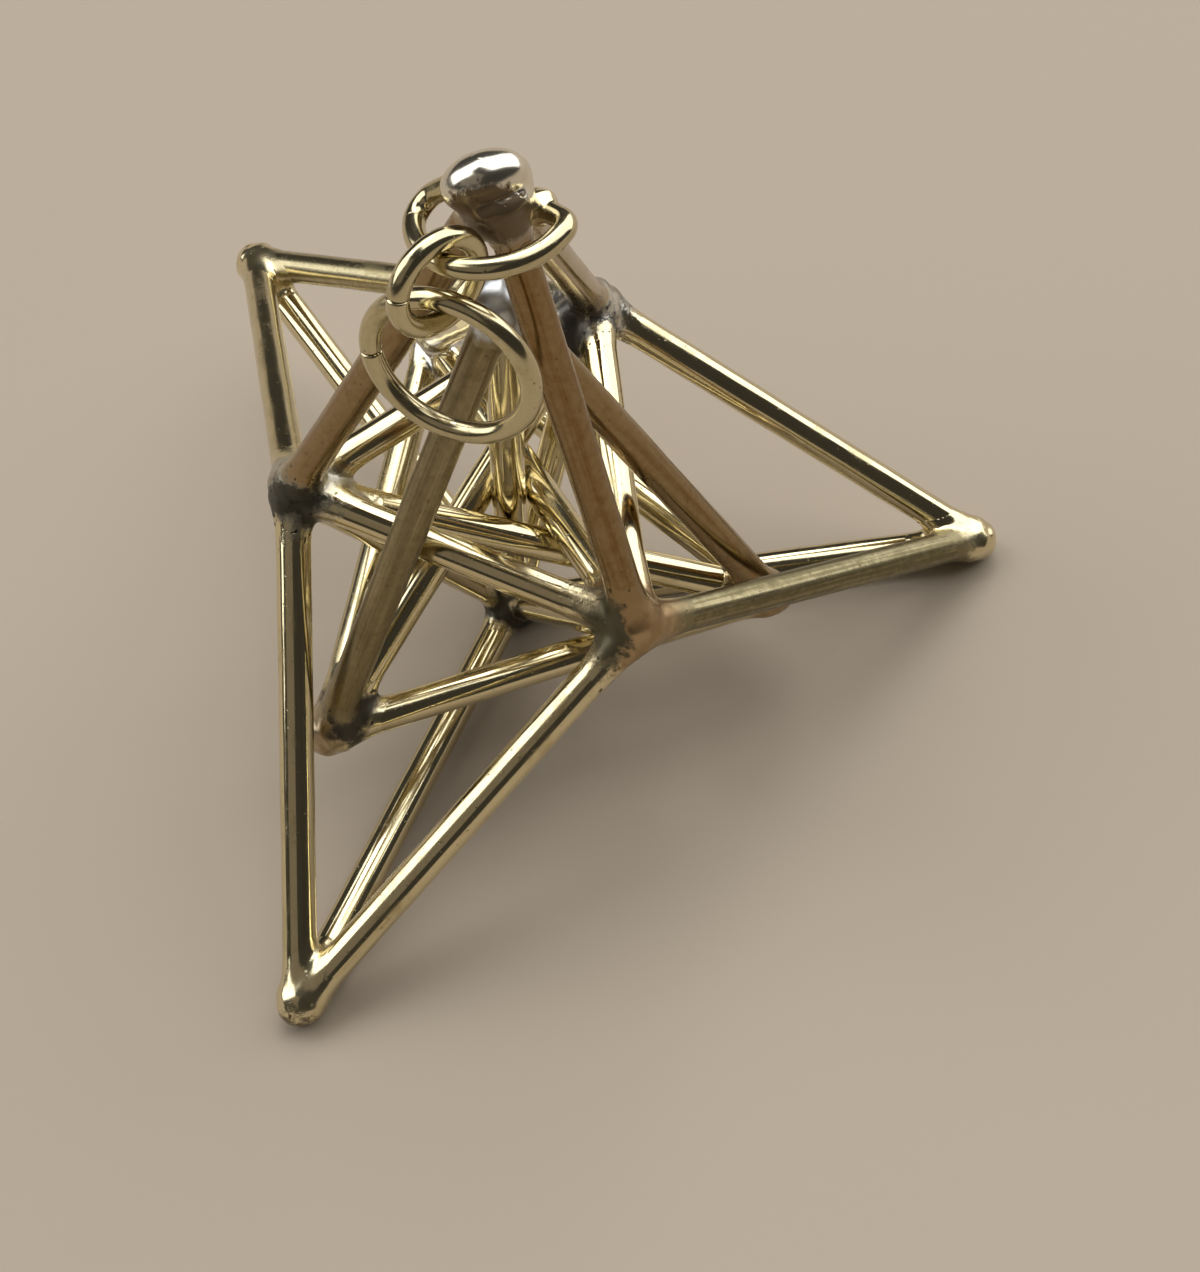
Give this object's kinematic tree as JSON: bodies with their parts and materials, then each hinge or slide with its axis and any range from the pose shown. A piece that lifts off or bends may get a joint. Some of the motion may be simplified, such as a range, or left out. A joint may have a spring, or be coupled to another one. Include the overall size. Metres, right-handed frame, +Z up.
{
  "type": "star pendant",
  "caption": "Open star of soldered round brass bars: a tetrahedron core with spikes, a turned outer tetrahedron round it, and a hoop, link and ring at one tip to hang it by.",
  "frame": {"origin": "point of the floor under the lowest core joint, where the star lies on it", "axes": "+Z up from the floor; +X toward the right tip, which with the front tip and the lowest core joint carries the star; +Y to the rear"},
  "size_m": [0.0378, 0.0427, 0.0378],
  "materials": {
    "bar_brass": "polished, lightly tarnished",
    "ring_brass": "polished drawn wire",
    "bright_solder": "bright, smooth and lumpy",
    "dark_solder": "dark, pitted",
    "warm_solder": "dull, smeared with flux"
  },
  "bodies": {
    "star": {"cage_base_bar_1": "bar_brass", "cage_base_bar_2": "bar_brass", "cage_base_bar_3": "bar_brass", "cage_side_bar_1": "bar_brass", "cage_side_bar_2": "bar_brass", "cage_side_bar_3": "bar_brass", "core_bar_1": "bar_brass", "core_bar_2": "bar_brass", "core_bar_3": "bar_brass", "core_bar_4": "bar_brass", "core_bar_5": "bar_brass", "core_bar_6": "bar_brass", "diagonal_bar_1": "bar_brass", "diagonal_bar_2": "bar_brass", "diagonal_bar_3": "bar_brass", "diagonal_bar_4": "bar_brass", "front_cage_solder": "dark_solder", "front_core_solder": "warm_solder", "front_spike_bar_1": "bar_brass", "front_spike_bar_2": "bar_brass", "front_spike_bar_3": "bar_brass", "front_tip_solder": "warm_solder", "hoop_solder": "bright_solder", "left_core_solder": "dark_solder", "low_core_solder": "dark_solder", "rear_cage_solder": "bright_solder", "rear_core_solder": "warm_solder", "rear_spike_bar_1": "bar_brass", "rear_spike_bar_2": "bar_brass", "rear_spike_bar_3": "bar_brass", "rear_tip_solder": "warm_solder", "right_cage_solder": "warm_solder", "right_spike_bar_1": "bar_brass", "right_spike_bar_2": "bar_brass", "right_spike_bar_3": "bar_brass", "right_tip_solder": "warm_solder", "tip_hoop": "ring_brass", "top_cage_solder": "bright_solder", "top_cap_solder": "bright_solder", "top_spike_bar_1": "bar_brass", "top_spike_bar_2": "bar_brass", "top_spike_bar_3": "bar_brass"},
    "link": {"small_link": "ring_brass"},
    "ring": {"hanging_ring": "ring_brass"}
  },
  "joints": [
    {"name": "small_link_swing", "type": "hinge", "parent": "star", "child": "link", "pos_m": [0.00096, -0.00824, 0.03529], "axis": [0.7121, -0.6947, 0.1016], "range_deg": [-115, 8]},
    {"name": "hanging_ring_swing", "type": "hinge", "parent": "link", "child": "ring", "pos_m": [0.00062, -0.00855, 0.03253], "axis": [-0.8072, -0.5852, 0.0776], "range_deg": [-25, 50]}
  ]
}
